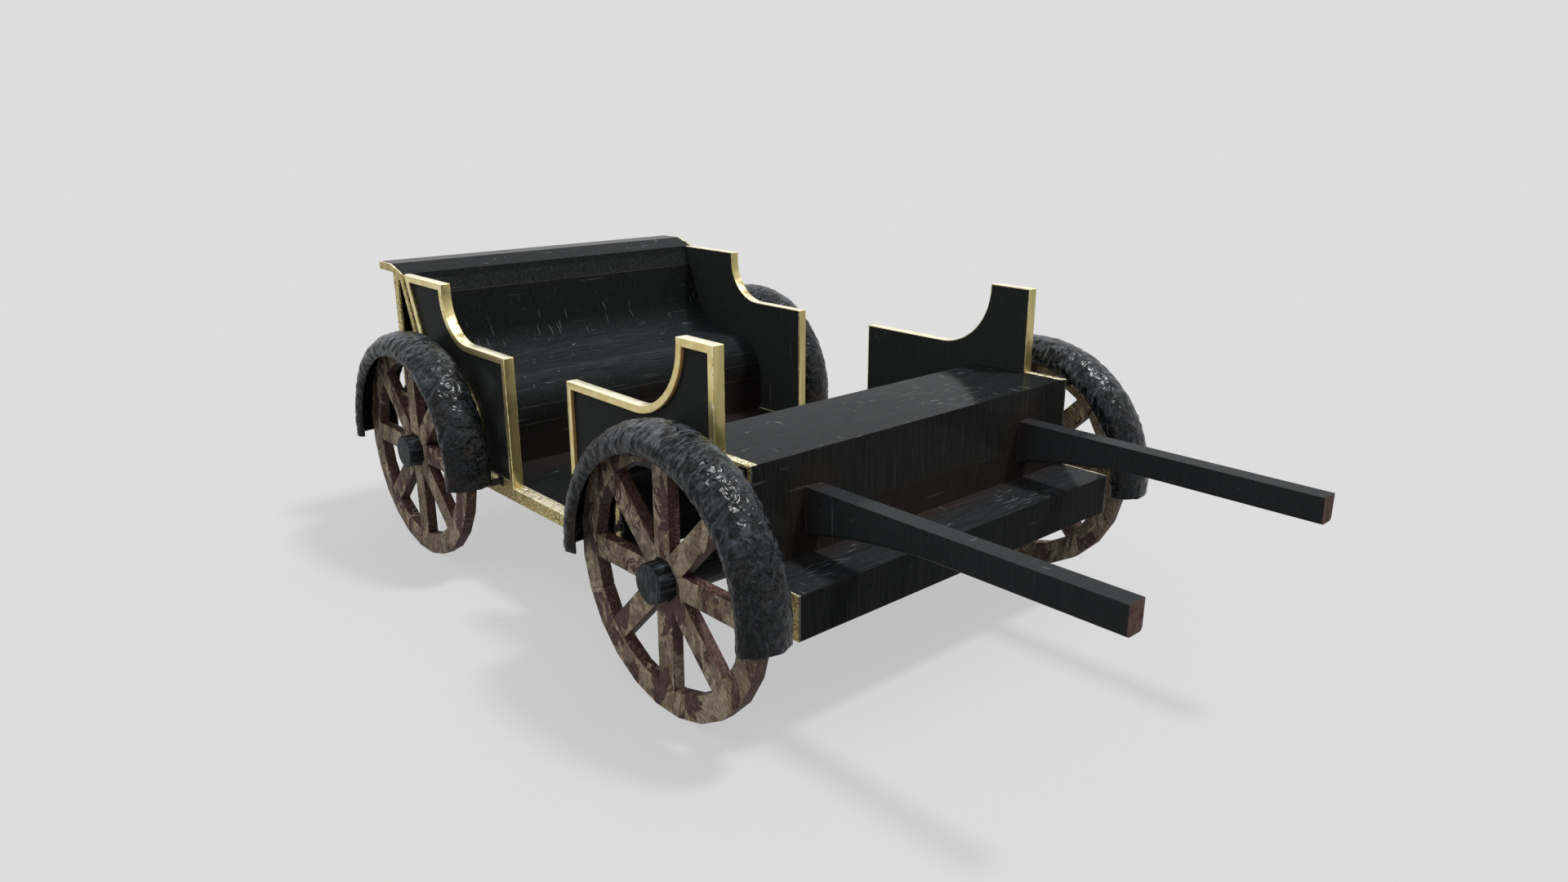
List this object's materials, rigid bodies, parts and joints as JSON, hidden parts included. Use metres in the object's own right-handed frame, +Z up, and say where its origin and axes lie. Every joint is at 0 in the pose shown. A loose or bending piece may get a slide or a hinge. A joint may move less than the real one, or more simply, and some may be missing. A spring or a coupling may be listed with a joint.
{
  "type": "horse-drawn carriage",
  "caption": "Open horse-drawn carriage: black bent-board seats in gilded mitred frames, spoked timber wheels under trough-shaped guards, and straight shafts.",
  "frame": {"origin": "on the ground, below the middle of the carriage's length and width", "axes": "+X forwards to the shafts, +Y to the carriage's left, +Z up"},
  "size_m": [4.0052, 2.2402, 1.286],
  "materials": {
    "lacquer": "black lacquer over wood, scratched",
    "gilding": "leaf over bars, hand burnished",
    "wheel_timber": "weathered, mottled",
    "axle_paint": "dark grained paint",
    "guard": "rough hammered black",
    "iron": "blackened"
  },
  "bodies": {
    "carriage": {"floor_board": "lacquer", "rear_seat": "lacquer", "rear_wall": "lacquer", "rear_cornice": "lacquer", "front_seat": "lacquer", "box_top": "lacquer", "box_front": "lacquer", "footboard_tread": "lacquer", "footboard_apron": "lacquer", "sill_right": "gilding", "sill_left": "gilding", "rear_edging_right": "gilding", "rear_edging_left": "gilding", "front_edging_right": "gilding", "front_edging_left": "gilding", "rear_panel_frame_right": "gilding", "rear_panel_board_right": "lacquer", "rear_panel_frame_left": "gilding", "rear_panel_board_left": "lacquer", "front_panel_frame_right": "gilding", "front_panel_board_right": "lacquer", "front_panel_frame_left": "gilding", "front_panel_board_left": "lacquer", "shaft_right": "lacquer", "shaft_left": "lacquer", "front_axle": "axle_paint", "front_bolster": "lacquer", "front_axle_straps": "iron", "rear_axle": "axle_paint", "rear_bolster": "lacquer", "rear_axle_straps": "iron", "front_guard_right": "guard", "front_guard_left": "guard", "rear_guard_right": "guard", "rear_guard_left": "guard"},
    "front_wheel_right": {"front_wheel_right_felloes": "wheel_timber", "front_wheel_right_spokes": "wheel_timber", "front_wheel_right_nave": "axle_paint"},
    "front_wheel_left": {"front_wheel_left_felloes": "wheel_timber", "front_wheel_left_spokes": "wheel_timber", "front_wheel_left_nave": "axle_paint"},
    "rear_wheel_right": {"rear_wheel_right_felloes": "wheel_timber", "rear_wheel_right_spokes": "wheel_timber", "rear_wheel_right_nave": "axle_paint"},
    "rear_wheel_left": {"rear_wheel_left_felloes": "wheel_timber", "rear_wheel_left_spokes": "wheel_timber", "rear_wheel_left_nave": "axle_paint"}
  },
  "joints": [
    {"name": "front_wheel_right_turn", "type": "hinge", "parent": "carriage", "child": "front_wheel_right", "pos_m": [0.53758, -0.998, 0.49572], "axis": [0, 1, 0], "continuous": true},
    {"name": "front_wheel_left_turn", "type": "hinge", "parent": "carriage", "child": "front_wheel_left", "pos_m": [0.53758, 0.998, 0.49572], "axis": [0, 1, 0], "continuous": true},
    {"name": "rear_wheel_right_turn", "type": "hinge", "parent": "carriage", "child": "rear_wheel_right", "pos_m": [-1.39842, -0.998, 0.49572], "axis": [0, 1, 0], "continuous": true},
    {"name": "rear_wheel_left_turn", "type": "hinge", "parent": "carriage", "child": "rear_wheel_left", "pos_m": [-1.39842, 0.998, 0.49572], "axis": [0, 1, 0], "continuous": true}
  ]
}
